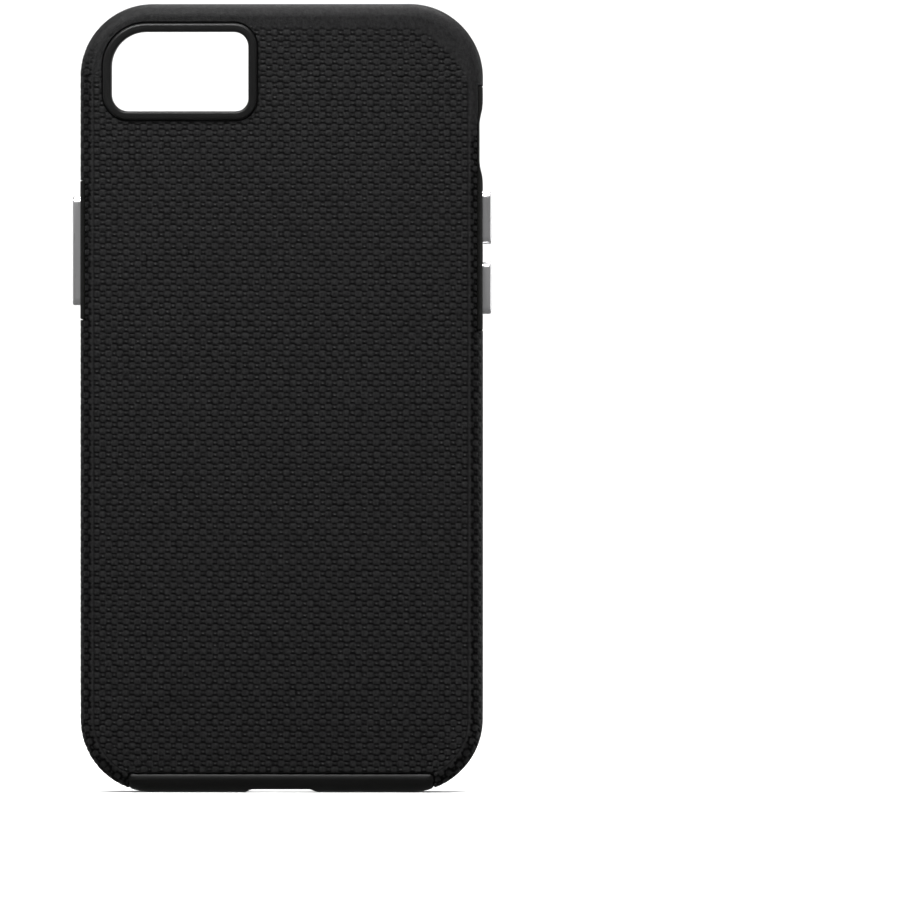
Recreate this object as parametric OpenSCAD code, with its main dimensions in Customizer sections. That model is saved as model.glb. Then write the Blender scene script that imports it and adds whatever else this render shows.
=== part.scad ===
// Dual-layer phone case: a hard textured shell over a rubbery liner whose front lip holds the phone.
// Upright, with +Z towards the camera end, the open screen side facing -Y and the back facing +Y.
// The origin is the middle of the flat face that the phone's back rests on.

/* [Outside] */
// Width across the two long sides
case_w = 73; // [72.6:0.1:76]
// Height from the bottom edge to the top edge
case_h = 143; // [142.6:0.1:146]
// Radius of the four outer corners, seen from the back
corner_r = 13.2; // [12:0.1:14]
// Radius that rounds the shell's back into its sides
back_round = 2.6; // [2:0.1:3]

/* [Phone space] */
// Width of the space that the phone fills
cavity_w = 67.5; // [67:0.1:68]
// Height of the space that the phone fills
cavity_h = 138.6; // [138:0.1:139]
// Depth of that space, from the seat to the underside of the lip
cavity_d = 7.45; // [7.2:0.05:7.8]
// Radius of its corners
cavity_r = 9.8; // [9:0.1:11]

/* [Layers] */
// Thickness of the hard shell
shell_t = 1.2; // [1:0.05:1.4]
// Thickness of the liner behind the phone
liner_back_t = 1.0; // [0.8:0.05:1.2]
// Distance from the phone seat to the shell's front edge
shell_front = 5.8; // [5.5:0.1:6.2]

/* [Lip] */
// How far the lip stands in front of its own underside
lip_rise = 1.15; // [1:0.05:1.5]
// Width of the lip from its outer side to its inner edge
lip_w = 3.7; // [3.4:0.1:4]
// How far the lip's outer side stays inside the shell's outline
lip_inset = 0.15; // [0.1:0.05:0.3]
// Radius that rounds the lip's outer edge
lip_round = 1.5; // [1.2:0.1:1.7]
// Width of the flat ring along the lip's crest
lip_crest = 0.5; // [0.3:0.1:0.6]

/* [Camera window] */
// Width of the raised ring
ring_w = 28; // [27:0.1:29]
// Height of the raised ring
ring_h = 17.6; // [17:0.1:18]
// Distance from the case's +X side to the ring
ring_from_side = 4.2; // [3.6:0.1:4.8]
// Distance from the case's top edge to the ring
ring_from_top = 3.5; // [3.3:0.1:4]
// Width of the ring's wall
ring_t = 1.6; // [1.3:0.1:1.8]
// How far the ring stands proud of the back
ring_proud = 0.6; // [0.4:0.1:0.8]
// Gap between the ring and the shell
ring_gap = 0.2; // [0.15:0.05:0.3]
// Width of the flange that the shell holds against the liner
flange_w = 0.9; // [0.6:0.1:1]
// Thickness of that flange
flange_t = 0.4; // [0.3:0.05:0.5]

/* [Buttons] */
// Length of the power button
power_len = 19.8; // [18:0.1:21]
// Distance from the case's top edge to the power button's middle
power_from_top = 44.7; // [43:0.1:46]
// Length of each volume button
volume_len = 9.6; // [8:0.1:10]
// Distance from the top edge to the volume-up button's middle
volume_up_from_top = 38.7; // [38:0.1:40]
// Distance from the top edge to the volume-down button's middle
volume_down_from_top = 51.4; // [51:0.1:52]
// Width of a button, across the thickness of the case
button_w = 3.2; // [2.8:0.1:3.4]
// Radius of a button's corners
button_r = 1.3; // [1:0.1:1.4]
// How far a button stands proud of the case's side
button_proud = 1.5; // [1.2:0.1:1.7]
// Chamfer around a button's outer face
button_chamfer = 0.3; // [0.2:0.05:0.4]
// How far a button can be pressed
button_travel = 0.4; // [0.3:0.05:0.4]
// Gap around a button in its slot
button_gap = 0.3; // [0.25:0.05:0.4]

/* [Openings] */
// Distance from the top edge to the middle of the mute switch opening
mute_from_top = 25; // [24:0.1:26]
// Length of the mute switch opening
mute_len = 9; // [8:0.1:10]
// Width of the mute switch opening
mute_w = 4.8; // [4.6:0.1:5]
// Length of the shallow scoop around the mute switch opening
scoop_len = 15; // [13:0.1:16]
// Depth of that scoop
scoop_depth = 0.65; // [0.4:0.05:0.8]
// Length of the charging port opening
port_len = 13; // [12:0.1:14]
// Width of the charging port opening
port_w = 6.6; // [6:0.1:7]
// Length of the microphone and speaker slots
sound_len = 12.5; // [11:0.1:13]
// Width of the microphone and speaker slots
sound_w = 2.4; // [2:0.1:3]
// Distance from the middle of the case to the middle of each of those slots
sound_x = 17.5; // [16.5:0.1:18]

/* [Shell cutouts] */
// Width of the bare liner strip along the bottom edge
chin_w = 55.6; // [54:0.1:57]
// Height of that strip
chin_h = 3.6; // [3.3:0.1:4]
// Distance from the top edge to the start of the cutout on the mute switch side
left_cut_from_top = 14.8; // [14:0.1:15.5]
// Length of the cutout on the mute switch side
left_cut_len = 44.5; // [44:0.1:46]
// Distance from the top edge to the start of the cutout on the power side
right_cut_from_top = 31.9; // [31:0.1:32.5]
// Length of the cutout on the power side
right_cut_len = 25.4; // [25:0.1:27]
// Distance from the back of the case to the side cutouts
cut_from_back = 0.7; // [0.6:0.1:1.2]
// Depth of the recess in the middle of the bottom edge
recess_depth = 0.57; // [0.4:0.01:0.7]
// Length of the recess, end to end
recess_len = 14; // [13:0.1:15]
// Length of each sloping end of the recess
recess_slope = 2; // [1.5:0.1:3]

/* [Hidden] */
$fn = 64;

power_side = 1;
volume_side = -1;
past = 5;                                   // how far a cutting shape runs past what it cuts
side_s = case_w / 2;                        // distances "s" are outward from the middle of the case
wall_s = cavity_w / 2;
back_v = -(liner_back_t + shell_t);         // depths "v" are from the phone seat towards the screen
lip_front = cavity_d + lip_rise;
lip_case_w = case_w - 2 * lip_inset;
lip_case_h = case_h - 2 * lip_inset;
lip_r = corner_r - lip_inset;
lip_edge = 0.45;                            // thickness of the lip at its inner edge
mid_v = cavity_d / 2;                       // depth of the buttons' and openings' middle line
liner_round = back_round - shell_t;
liner_r = corner_r - shell_t;

ring_x = side_s - ring_from_side - ring_w / 2;
ring_y = case_h / 2 - ring_from_top - ring_h / 2;
// Corner radii of the ring: the first is the one nearest the case's own corner, then clockwise from behind
ring_radii = [7.9, 4.3, 3.9, 4.7];
ring_step = 0.3;                            // small step that breaks the ring's two top edges

slot_w = button_w + 2 * button_gap;
slot_r = button_r + button_gap;
cap_top = side_s + button_proud;
cap_base = side_s - 1.05;
web_base = cap_base - button_travel - 0.55;
web_t = 0.5;
plunger_base = wall_s + 0.35;
plunger_w = 1.9;
plunger_inset = 1.9;                        // how much shorter than the button a plunger is, at each end
web_gap = 0.04;

// ---- placing ----

// Local x is X, local y runs up the case and local z is depth from the seat towards the screen.
module upright() {
    rotate([90, 0, 0]) children();
}

// The height of something given by its distance from the top edge.
function height_of(from_top) = case_h / 2 - from_top;

// Puts a child, drawn with z pointing out of the case's side, on the +X or the -X side.
module on_side(side, from_top) {
    translate([0, height_of(from_top), mid_v])
        rotate([0, side * 90, 0])
            children();
}

// ---- outlines ----

module rounded_bar(len, w, r) {
    square([w, len - 2 * r], center = true);
    square([w - 2 * r, len], center = true);
    for (sx = [-1, 1], sy = [-1, 1])
        translate([sx * (w / 2 - r), sy * (len / 2 - r)])
            circle(r);
}

// The window's outline, moved in by inset, or out if inset is negative.
module window_outline(inset) {
    w = ring_w - 2 * inset;
    h = ring_h - 2 * inset;
    signs = [[1, 1], [-1, 1], [-1, -1], [1, -1]];
    difference() {
        square([w, h], center = true);
        for (i = [0:3])
            corner_cut(signs[i], w, h, ring_radii[i] - inset);
    }
}

module corner_cut(signs, w, h, r) {
    translate([signs[0] * (w / 2 - r), signs[1] * (h / 2 - r)])
        difference() {
            translate([signs[0] * r, signs[1] * r])
                square(2 * r, center = true);
            circle(r);
        }
}

// Half of a slab's section, from x = 0 out to r, rounded at the back by round_r.
module edge_outline(r, v0, v1, round_r) {
    translate([0, v0]) square([r - round_r, v1 - v0]);
    translate([0, v0 + round_r]) square([r, v1 - v0 - round_r]);
    translate([r - round_r, v0 + round_r]) circle(round_r);
}

// The lip's section: rounded outer edge, flat crest, then a slope down to a thin inner edge.
module lip_outline() {
    inner = lip_r - lip_w;
    crest_out = lip_r - lip_round;
    crest_in = crest_out - lip_crest;
    thin_front = cavity_d + lip_edge;
    polygon([
        [inner, cavity_d], [inner, thin_front], [crest_in, lip_front], [crest_out, lip_front],
        [crest_out, shell_front], [inner, shell_front]
    ]);
    translate([crest_out, shell_front]) square([lip_round, lip_front - lip_round - shell_front]);
    translate([crest_out, lip_front - lip_round]) circle(lip_round);
}

// ---- solids that follow the case's outline ----

// Sweeps the child outline around a rounded rectangle. The child's x runs outward from the corner's centre.
module rim(w, h, r) {
    for (k = [0:3]) {
        across = (k % 2 == 0 ? w : h) - 2 * r;
        along = (k % 2 == 0 ? h : w) - 2 * r;
        rotate([0, 0, 90 * k])
            translate([across / 2, along / 2, 0]) {
                rotate_extrude(angle = 90) children();
                rotate([90, 0, 0]) linear_extrude(along) children();
            }
    }
}

module slab(w, h, r, v0, v1, round_r) {
    rim(w, h, r) edge_outline(r, v0, v1, round_r);
    translate([r - w / 2, r - h / 2, v0])
        cube([w - 2 * r, h - 2 * r, v1 - v0]);
}

module straight_slab(w, h, r, v0, v1) {
    translate([0, 0, v0])
        linear_extrude(v1 - v0)
            rounded_bar(h, w, r);
}

module shell_envelope() {
    slab(case_w, case_h, corner_r, back_v, shell_front, back_round);
}

module liner_envelope(front = shell_front) {
    slab(case_w - 2 * shell_t, case_h - 2 * shell_t, liner_r, -liner_back_t, front, liner_round);
}

module lip() {
    rim(lip_case_w, lip_case_h, lip_r) lip_outline();
}

module phone_space() {
    straight_slab(cavity_w, cavity_h, cavity_r, 0, cavity_d);
    opening_w = lip_case_w - 2 * lip_w;
    opening_h = lip_case_h - 2 * lip_w;
    straight_slab(opening_w, opening_h, lip_r - lip_w, cavity_d - 1, lip_front + 1);
}

// ---- zones where the liner comes through the shell ----

module side_zone(side, from_top, len) {
    zone_w = back_round + past;
    x0 = side > 0 ? side_s - back_round : -side_s - past;
    translate([x0, height_of(from_top + len), back_v + cut_from_back])
        cube([zone_w, len, shell_front - back_v - cut_from_back + 1]);
}

module chin_zone() {
    translate([-chin_w / 2, -case_h / 2 - past, back_v - 1])
        cube([chin_w, chin_h + past, shell_front - back_v + 2]);
}

module bare_zones() {
    side_zone(volume_side, left_cut_from_top, left_cut_len);
    side_zone(power_side, right_cut_from_top, right_cut_len);
    chin_zone();
}

// ---- openings ----

module side_opening(side, from_top, len, w, r) {
    on_side(side, from_top)
        translate([0, 0, wall_s - 1])
            linear_extrude(past)
                rounded_bar(len, w, r);
}

module bottom_opening(x, len, w) {
    translate([x, -cavity_h / 2 + 1, mid_v])
        rotate([90, 0, 0])
            linear_extrude(past)
                rounded_bar(w, len, w / 2 - 0.01);
}

module scoop() {
    scoop_r = (pow(scoop_len / 2, 2) + pow(scoop_depth, 2)) / (2 * scoop_depth);
    translate([volume_side * (side_s + scoop_r - scoop_depth), height_of(mute_from_top), back_v - 1])
        cylinder(h = lip_front - back_v + 2, r = scoop_r, $fn = 200);
}

// A shallow trough with smoothly sloping ends, across the whole thickness of the bottom edge.
module bottom_recess() {
    steps = 8;
    half = recess_len / 2;
    bottom = -case_h / 2;
    slope = [for (i = [0:steps]) [
        half - recess_slope * i / steps,
        bottom + recess_depth * (1 - cos(180 * i / steps)) / 2
    ]];
    mirrored = [for (i = [steps:-1:0]) [-slope[i][0], slope[i][1]]];
    translate([0, 0, back_v - 1])
        linear_extrude(lip_front - back_v + 2)
            polygon(concat(
                [[-half, bottom - past], [half, bottom - past]], slope, mirrored
            ));
}

module window_opening(inset, v0, v1) {
    translate([ring_x, ring_y, v0])
        linear_extrude(v1 - v0)
            window_outline(inset);
}

// ---- pieces ----

module outer_shell() {
    color("#2b2b2b")
        upright()
            difference() {
                shell_envelope();
                liner_envelope(shell_front + 1);
                bare_zones();
                window_opening(-ring_gap, back_v - 1, 0);
                window_opening(-(flange_w + ring_gap), -liner_back_t - flange_t, 0);
            }
}

module inner_liner() {
    color("#151515")
        upright()
            difference() {
                union() {
                    liner_envelope();
                    lip();
                    intersection() {
                        shell_envelope();
                        bare_zones();
                    }
                }
                phone_space();
                window_opening(ring_t, -past, 1);
                side_opening(power_side, power_from_top, power_len + 2 * button_gap, slot_w, slot_r);
                side_opening(volume_side, volume_up_from_top, volume_len + 2 * button_gap, slot_w, slot_r);
                side_opening(volume_side, volume_down_from_top, volume_len + 2 * button_gap, slot_w, slot_r);
                side_opening(volume_side, mute_from_top, mute_len, mute_w, mute_w / 2 - 0.01);
                scoop();
                bottom_recess();
                bottom_opening(0, port_len, port_w);
                bottom_opening(-sound_x, sound_len, sound_w);
                bottom_opening(sound_x, sound_len, sound_w);
            }
}

module camera_ring() {
    top = back_v - ring_proud;
    color("#1a1a1a")
        upright()
            difference() {
                union() {
                    window_opening(0, top + ring_step, -liner_back_t);
                    window_opening(ring_step, top, -liner_back_t);
                    window_opening(-flange_w, -liner_back_t - flange_t, -liner_back_t);
                }
                window_opening(ring_t, top + ring_step, 0);
                window_opening(ring_t - ring_step, top - 1, top + ring_step);
            }
}

// The metal bar that a finger presses.
module button_cap(side, from_top, len) {
    color("#c8c8c8")
        upright()
            on_side(side, from_top)
                intersection() {
                    translate([0, 0, cap_base])
                        linear_extrude(cap_top - cap_base)
                            rounded_bar(len, button_w, button_r);
                    rotate([90, 0, 0])
                        linear_extrude(len + 1, center = true)
                            chamfered_section(button_w);
                    rotate([90, 0, 90])
                        linear_extrude(button_w + 1, center = true)
                            chamfered_section(len);
                }
}

module chamfered_section(w) {
    polygon([
        [-w / 2, cap_base], [w / 2, cap_base], [w / 2, cap_top - button_chamfer],
        [w / 2 - button_chamfer, cap_top], [button_chamfer - w / 2, cap_top],
        [-w / 2, cap_top - button_chamfer]
    ]);
}

// The rubber post behind a cap, which reaches in to the phone's own key.
module plunger(side, from_top, len) {
    color("#202020")
        upright()
            on_side(side, from_top)
                translate([0, 0, plunger_base])
                    linear_extrude(cap_base - plunger_base)
                        rounded_bar(len - 2 * plunger_inset, plunger_w, plunger_w / 2 - 0.01);
}

// The thin web of liner material that closes the slot around a plunger and flexes when it moves.
module web(side, from_top, len) {
    hole_w = plunger_w + 2 * web_gap;
    color("#1c1c1c")
        upright()
            on_side(side, from_top)
                translate([0, 0, web_base])
                    linear_extrude(web_t)
                        difference() {
                            rounded_bar(len + 2 * button_gap, slot_w, slot_r);
                            rounded_bar(len - 2 * plunger_inset + 2 * web_gap, hole_w, hole_w / 2 - 0.01);
                        }
}

outer_shell();
inner_liner();
camera_ring();
button_cap(power_side, power_from_top, power_len);  // power_button
button_cap(volume_side, volume_up_from_top, volume_len);  // volume_up_button
button_cap(volume_side, volume_down_from_top, volume_len);  // volume_down_button
plunger(power_side, power_from_top, power_len);  // power_plunger
plunger(volume_side, volume_up_from_top, volume_len);  // volume_up_plunger
plunger(volume_side, volume_down_from_top, volume_len);  // volume_down_plunger
web(power_side, power_from_top, power_len);  // power_web
web(volume_side, volume_up_from_top, volume_len);  // volume_up_web
web(volume_side, volume_down_from_top, volume_len);  // volume_down_web
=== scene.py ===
"""Looks of the dual-layer phone case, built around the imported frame.

Shapes are worked out in millimetres in the case's own directions: x across, up along the case, and
depth from the phone seat towards the open screen side. place() turns them into the row frame.
"""
import math

import bpy
import numpy as np
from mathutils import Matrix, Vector


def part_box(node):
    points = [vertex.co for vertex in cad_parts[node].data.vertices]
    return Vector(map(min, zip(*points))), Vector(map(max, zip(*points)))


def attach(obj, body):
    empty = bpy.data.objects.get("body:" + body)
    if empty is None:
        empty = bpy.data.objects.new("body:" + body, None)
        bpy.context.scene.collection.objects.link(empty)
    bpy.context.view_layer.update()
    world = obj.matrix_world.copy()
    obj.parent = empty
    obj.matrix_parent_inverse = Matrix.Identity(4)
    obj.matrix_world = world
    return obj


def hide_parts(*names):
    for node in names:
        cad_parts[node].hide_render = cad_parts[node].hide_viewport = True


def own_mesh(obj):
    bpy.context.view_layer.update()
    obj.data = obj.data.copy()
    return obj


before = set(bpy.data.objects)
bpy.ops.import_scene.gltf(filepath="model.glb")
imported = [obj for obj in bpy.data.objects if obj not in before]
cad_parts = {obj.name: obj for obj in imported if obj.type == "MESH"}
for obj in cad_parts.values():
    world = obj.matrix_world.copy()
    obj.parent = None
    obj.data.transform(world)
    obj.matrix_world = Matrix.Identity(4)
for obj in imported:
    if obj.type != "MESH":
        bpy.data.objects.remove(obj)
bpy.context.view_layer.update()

MM = 0.001

# ---- sizes, in millimetres -------------------------------------------------------------------


def box_mm(node):
    """The low and high corners of a CAD node's box."""
    low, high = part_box(node)
    return np.array(low) / MM, np.array(high) / MM


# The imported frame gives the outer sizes. Most of the others repeat values of the CAD model.
shell_low, shell_high = box_mm("outer_shell")
liner_low, _ = box_mm("inner_liner")
ring_low, ring_high = box_mm("camera_ring")

SIDE = shell_high[0]
TOP = shell_high[2]
BACK = -shell_high[1]
SHELL_FRONT = -shell_low[1]
LIP_FRONT = -liner_low[1]
CORNER_R = 13.2
BACK_ROUND = 2.6
SHELL_T = 1.2
LINER_BACK = -1.0
CAVITY_W, CAVITY_H, CAVITY_D, CAVITY_R = 67.5, 138.6, 7.45, 9.8
MID_DEPTH = CAVITY_D / 2
LIP_INSET, LIP_W, LIP_ROUND, LIP_CREST, LIP_EDGE = 0.15, 3.7, 1.5, 0.5, 0.4

CORE_X = SIDE - CORNER_R
CORE_UP = TOP - CORNER_R
FLAT_R = CORNER_R - BACK_ROUND  # corner radius of the flat part of the back

RING_T = 1.6
RING_FLANGE = 0.9
RING_GAP = 0.2
RING_RADII = (7.9, 4.3, 3.9, 4.7)
RING_W = ring_high[0] - ring_low[0] - 2 * RING_FLANGE
RING_H = ring_high[2] - ring_low[2] - 2 * RING_FLANGE
RING_X = (ring_high[0] + ring_low[0]) / 2
RING_UP = (ring_high[2] + ring_low[2]) / 2
RING_TOP = -ring_high[1]

CHIN_W, CHIN_H = 55.6, 3.6
CUT_FROM_BACK = 0.7
LEFT_CUT = (TOP - 59.3, TOP - 14.8)
RIGHT_CUT = (TOP - 57.3, TOP - 31.9)
PART_GAP = 0.12  # visible gap between the shell and the liner that comes through it
# Depths at which the bare strips start to bend in, reach the lip's surface and end inside it
BEND_START, BEND_END, BARE_END = SHELL_FRONT - 1.1, SHELL_FRONT + 0.35, SHELL_FRONT + 0.7
MUTE_UP, MUTE_LEN, MUTE_W = TOP - 25, 9.0, 4.8
SCOOP_LEN, SCOOP_DEPTH, SCOOP_SLOPE = 15.0, 0.65, 4.2
RECESS_LEN, RECESS_DEPTH, RECESS_SLOPE = 14.0, 0.57, 2.0
PORT_LEN, PORT_W = 13.0, 6.6
SOUND_X, SOUND_LEN, SOUND_W = 17.5, 12.5, 2.4
SLOT_GAP = 0.3

PAST = 4.0  # how far a cutting shape runs past what it cuts


def place(x, up, depth):
    """Rows of (x, up, depth) in millimetres as points of the row frame in metres."""
    x, up, depth = np.broadcast_arrays(np.asarray(x, float), up, depth)
    return np.column_stack([x.ravel(), -depth.ravel(), up.ravel()]) * MM


def smooth_step(low, high, value):
    """0 at low, 1 at high, and a smooth curve between them."""
    t = np.clip((value - low) / (high - low), 0, 1)
    return t * t * (3 - 2 * t)


# ---- meshes ----------------------------------------------------------------------------------


def new_piece(name, points, faces, materials=()):
    """An object in the scene, made of points in metres and lists of face corners."""
    mesh = bpy.data.meshes.new(name)
    mesh.from_pydata(points.tolist(), [], faces)
    mesh.validate()
    for material in materials:
        mesh.materials.append(material)
    piece = bpy.data.objects.new(name, mesh)
    bpy.context.scene.collection.objects.link(piece)
    return piece


def strip_faces(rings, around, first=0):
    """Quads between rings of the same number of points, laid one after another."""
    k = np.arange(around)
    after = (k + 1) % around
    faces = []
    for i in range(rings - 1):
        low, high = first + i * around, first + (i + 1) * around
        faces.append(np.column_stack([low + k, low + after, high + after, high + k]))
    return np.concatenate(faces).tolist()


def loft(name, rings, materials=()):
    """A closed solid through rings of points, with a flat cap at each end."""
    around = len(rings[0])
    faces = strip_faces(len(rings), around)
    last = (len(rings) - 1) * around
    faces.append(list(range(around - 1, -1, -1)))
    faces.append(list(range(last, last + around)))
    return new_piece(name, np.concatenate(rings), faces, materials)


def closed_loop(name, rings, material):
    """A solid through rings of points whose last ring joins its first."""
    around = len(rings[0])
    faces = strip_faces(len(rings), around)
    last = (len(rings) - 1) * around
    k = np.arange(around)
    after = (k + 1) % around
    faces += np.column_stack([last + k, last + after, after, k]).tolist()
    return face_outward(new_piece(name, np.concatenate(rings), faces, (material,)))


def values_of(items, name, size=1, kind=float):
    """One value, or a row of size values, for each of a mesh's items."""
    values = np.empty(len(items) * size, kind)
    items.foreach_get(name, values)
    return values.reshape(-1, size) if size > 1 else values


def face_outward(piece):
    """Turns a closed mesh's faces to point out of it."""
    mesh = piece.data
    points = np.array([v.co for v in mesh.vertices])
    mesh.calc_loop_triangles()
    corners = np.array([t.vertices for t in mesh.loop_triangles])
    a, b, c = points[corners[:, 0]], points[corners[:, 1]], points[corners[:, 2]]
    if np.einsum("ij,ij->i", a, np.cross(b, c)).sum() < 0:
        mesh.flip_normals()
    return piece


def combine(piece, tool, operation="DIFFERENCE"):
    """Cuts tool from piece, or joins or intersects them, and removes tool."""
    face_outward(tool)
    step = piece.modifiers.new("combine", "BOOLEAN")
    step.operation = operation
    step.solver = "MANIFOLD"
    step.object = tool
    depsgraph = bpy.context.evaluated_depsgraph_get()
    made = bpy.data.meshes.new_from_object(piece.evaluated_get(depsgraph), depsgraph=depsgraph)
    piece.modifiers.remove(step)
    old = piece.data
    piece.data = made
    bpy.data.meshes.remove(old)
    bpy.data.objects.remove(tool)
    return piece


def outline(w, h, radii, grow=0.0, steps=10):
    """A rounded rectangle around (0, 0), starting with the corner at +x, +up, anticlockwise."""
    points = []
    for i, r in enumerate(radii):
        sx, sy = ((1, 1), (-1, 1), (-1, -1), (1, -1))[i]
        turn = np.radians(np.linspace(90 * i, 90 * i + 90, steps + 1))
        reach = max(r + grow, 0.02)
        centre_x = sx * (w / 2 + grow - reach)
        centre_y = sy * (h / 2 + grow - reach)
        x = centre_x + reach * np.cos(turn)
        y = centre_y + reach * np.sin(turn)
        points.append(np.column_stack([x, y]))
    return np.concatenate(points)


def bar_outline(w, h, r, steps=10):
    """A function of grow that draws a bar with four equal corners."""
    return lambda grow: outline(w, h, (r,) * 4, grow, steps)


def quarter(steps=5):
    """Angles of a quarter turn."""
    return np.radians(np.linspace(0, 90, steps + 1))


def hole_levels(outside, inside, fillet_out, fillet_in):
    """(position, grow) pairs for a cutter that rounds a hole's two edges. Outside is the larger."""
    slack = 0.01
    levels = [(outside + PAST, fillet_out)]
    for a in quarter()[::-1]:
        rise, grow = fillet_out * (1 - math.sin(a)), fillet_out * (1 - math.cos(a))
        levels.append((outside + slack - rise, grow))
    for a in quarter():
        rise, grow = fillet_in * (1 - math.sin(a)), fillet_in * (1 - math.cos(a))
        levels.append((inside - slack + rise, grow))
    levels.append((inside - PAST / 4, fillet_in))
    return levels


def side_loft(name, side, up, levels, shape, materials=()):
    """A loft whose axis points out of the case's side. shape(grow) is drawn as (width, length)."""
    rings = []
    for out, grow in levels:
        flat = shape(grow)
        rings.append(place(side * out, up + flat[:, 1], MID_DEPTH + flat[:, 0]))
    return loft(name, rings, materials)


# ---- the case's own outline ------------------------------------------------------------------

CORNER_STEPS, LONG_STEPS, SHORT_STEPS = 28, 40, 20


def case_ring(half_w, half_h, r, depth):
    """One ring of points around the case, anticlockwise from the bottom of its +x side."""
    long_side = np.linspace(-1, 1, LONG_STEPS + 1)[:-1]
    short_side = np.linspace(-1, 1, SHORT_STEPS + 1)[:-1]
    turn = np.radians(np.linspace(0, 90, CORNER_STEPS + 1))[:-1]
    points = []
    for i in range(4):
        across, along = (half_w, half_h) if i % 2 == 0 else (half_h, half_w)
        line = long_side if i % 2 == 0 else short_side
        straight = np.column_stack([np.full(len(line), across), line * (along - r)])
        corner = np.column_stack([across - r + r * np.cos(turn), along - r + r * np.sin(turn)])
        both = np.concatenate([straight, corner])
        c, s = ((1, 0), (0, 1), (-1, 0), (0, -1))[i]
        a, b = both[:, 0], both[:, 1]
        points.append(np.column_stack([a * c - b * s, a * s + b * c]))
    flat = np.concatenate(points)
    return place(flat[:, 0], flat[:, 1], depth)


def around_core(reach, depth):
    """A ring at the given reach from the centres of the case's outer corners."""
    return case_ring(CORE_X + reach, CORE_UP + reach, reach, depth)


def envelope_levels(inset, front):
    """(reach, depth) pairs of the case's rounded back and straight side, moved in by inset."""
    r = BACK_ROUND - inset
    levels = [(FLAT_R + r * math.sin(a), BACK + inset + r * (1 - math.cos(a))) for a in quarter(12)]
    return levels + [(CORNER_R - inset, front)]


def envelope(name, inset, front):
    return loft(name, [around_core(*level) for level in envelope_levels(inset, front)])


# ---- the shell's weave -----------------------------------------------------------------------

# Cells from the middle to the flat back's edge, and to where its corners start
CELLS_X, CELLS_UP = 31.5, 64.0
CORE_CELLS_X, CORE_CELLS_UP = 21.5, 54.0
CELL = FLAT_R / (CELLS_X - CORE_CELLS_X)
# Mesh lines within a cell
STEPS_X = (0.0, 0.2, 0.4, 0.6, 0.8)
STEPS_UP = (0.12, 0.3, 0.5, 0.7, 0.88)
# Half sizes in cells, heights, and the share of each shape that slopes. PAD_POWER sets how
# square the pads' outline is.
PAD_W, PAD_H, PAD_EDGE, PAD_POWER = 0.64, 0.56, 0.24, 4.6
THREAD_H, THREAD_RISE, THREAD_EDGE = 0.29, 0.45, 0.4
DOT_W, DOT_H, DOT_RISE, DOT_EDGE = 0.34, 0.28, 1.2, 0.8
# Millimetres out of the smooth surface at heights 0 and 1, and at height 0 on the side
WEAVE_LOW, WEAVE_HIGH = -0.22, 0.04
SIDE_LOW = -0.32
CREASE_DEPTH = 0.13

weave_random = np.random.default_rng(7)
DRAWN = (256, 512)  # columns and rows of cells before the random values repeat
PAD_RISE = weave_random.uniform(0.74, 0.84, DRAWN)
PAD_SHIFT = weave_random.uniform(-0.07, 0.07, (*DRAWN, 2))
PAD_SCALE = weave_random.uniform(0.93, 1.07, (*DRAWN, 2))
DOT_SHARE = weave_random.uniform(0.75, 1.0, DRAWN)


def pad(a, b, power, edge):
    """1 over most of a rounded rectangle, falling to 0 at its border."""
    distance = (np.abs(a) ** power + np.abs(b) ** power) ** (1 / power)
    return np.clip((1 - distance) / edge, 0, 1) ** 0.8


def weave(cell_x, cell_up):
    """Height of the weave: wide pads on every other cell, threads with small dots on the rest."""
    column = np.floor(cell_x + 0.5).astype(int)
    row = np.floor(cell_up).astype(int)
    across = cell_x - column
    along = cell_up - row - 0.5
    height = np.zeros_like(cell_x)
    for side_step in (-1, 0, 1):
        for up_step in (-1, 0, 1):
            near, over = column + side_step, row + up_step
            i, j = near % DRAWN[0], over % DRAWN[1]
            x = (across - side_step - PAD_SHIFT[i, j, 0]) / (PAD_W * PAD_SCALE[i, j, 0])
            y = (along - up_step - PAD_SHIFT[i, j, 1]) / (PAD_H * PAD_SCALE[i, j, 1])
            rise = PAD_RISE[i, j] * pad(x, y, PAD_POWER, PAD_EDGE)
            height = np.maximum(height, np.where((near + over) % 2 == 0, rise, 0))
    thread = THREAD_RISE * np.clip((1 - np.abs(along) / THREAD_H) / THREAD_EDGE, 0, 1)
    share = DOT_SHARE[column % DRAWN[0], row % DRAWN[1]]
    dot = DOT_RISE * share * pad(across / DOT_W, along / DOT_H, 2, DOT_EDGE)
    is_dot = (column + row) % 2 == 1
    return np.where(is_dot, np.maximum(height, np.maximum(thread, dot)), height)


def cell_lines(cells, core_cells, steps):
    """Cell coordinates of the mesh lines, from -cells to cells."""
    inside = (np.arange(-cells, cells)[:, None] + np.array(steps)[None, :]).ravel()
    return np.unique(np.round(np.append(inside, [-cells, -core_cells, core_cells, cells]), 6))


def from_cells(cell, core_cells, core):
    """Millimetres from a cell coordinate. The core's edge falls on a cell's edge."""
    inner = cell * core / core_cells
    outer = np.sign(cell) * (core + (np.abs(cell) - core_cells) * CELL)
    return np.where(np.abs(cell) <= core_cells, inner, outer)


def to_cells(value, core_cells, core):
    """The cell coordinate of a place in millimetres: from_cells() the other way round."""
    inner = value * core_cells / core
    outer = np.sign(value) * (core_cells + (np.abs(value) - core) / CELL)
    return np.where(np.abs(value) <= core, inner, outer)


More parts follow.
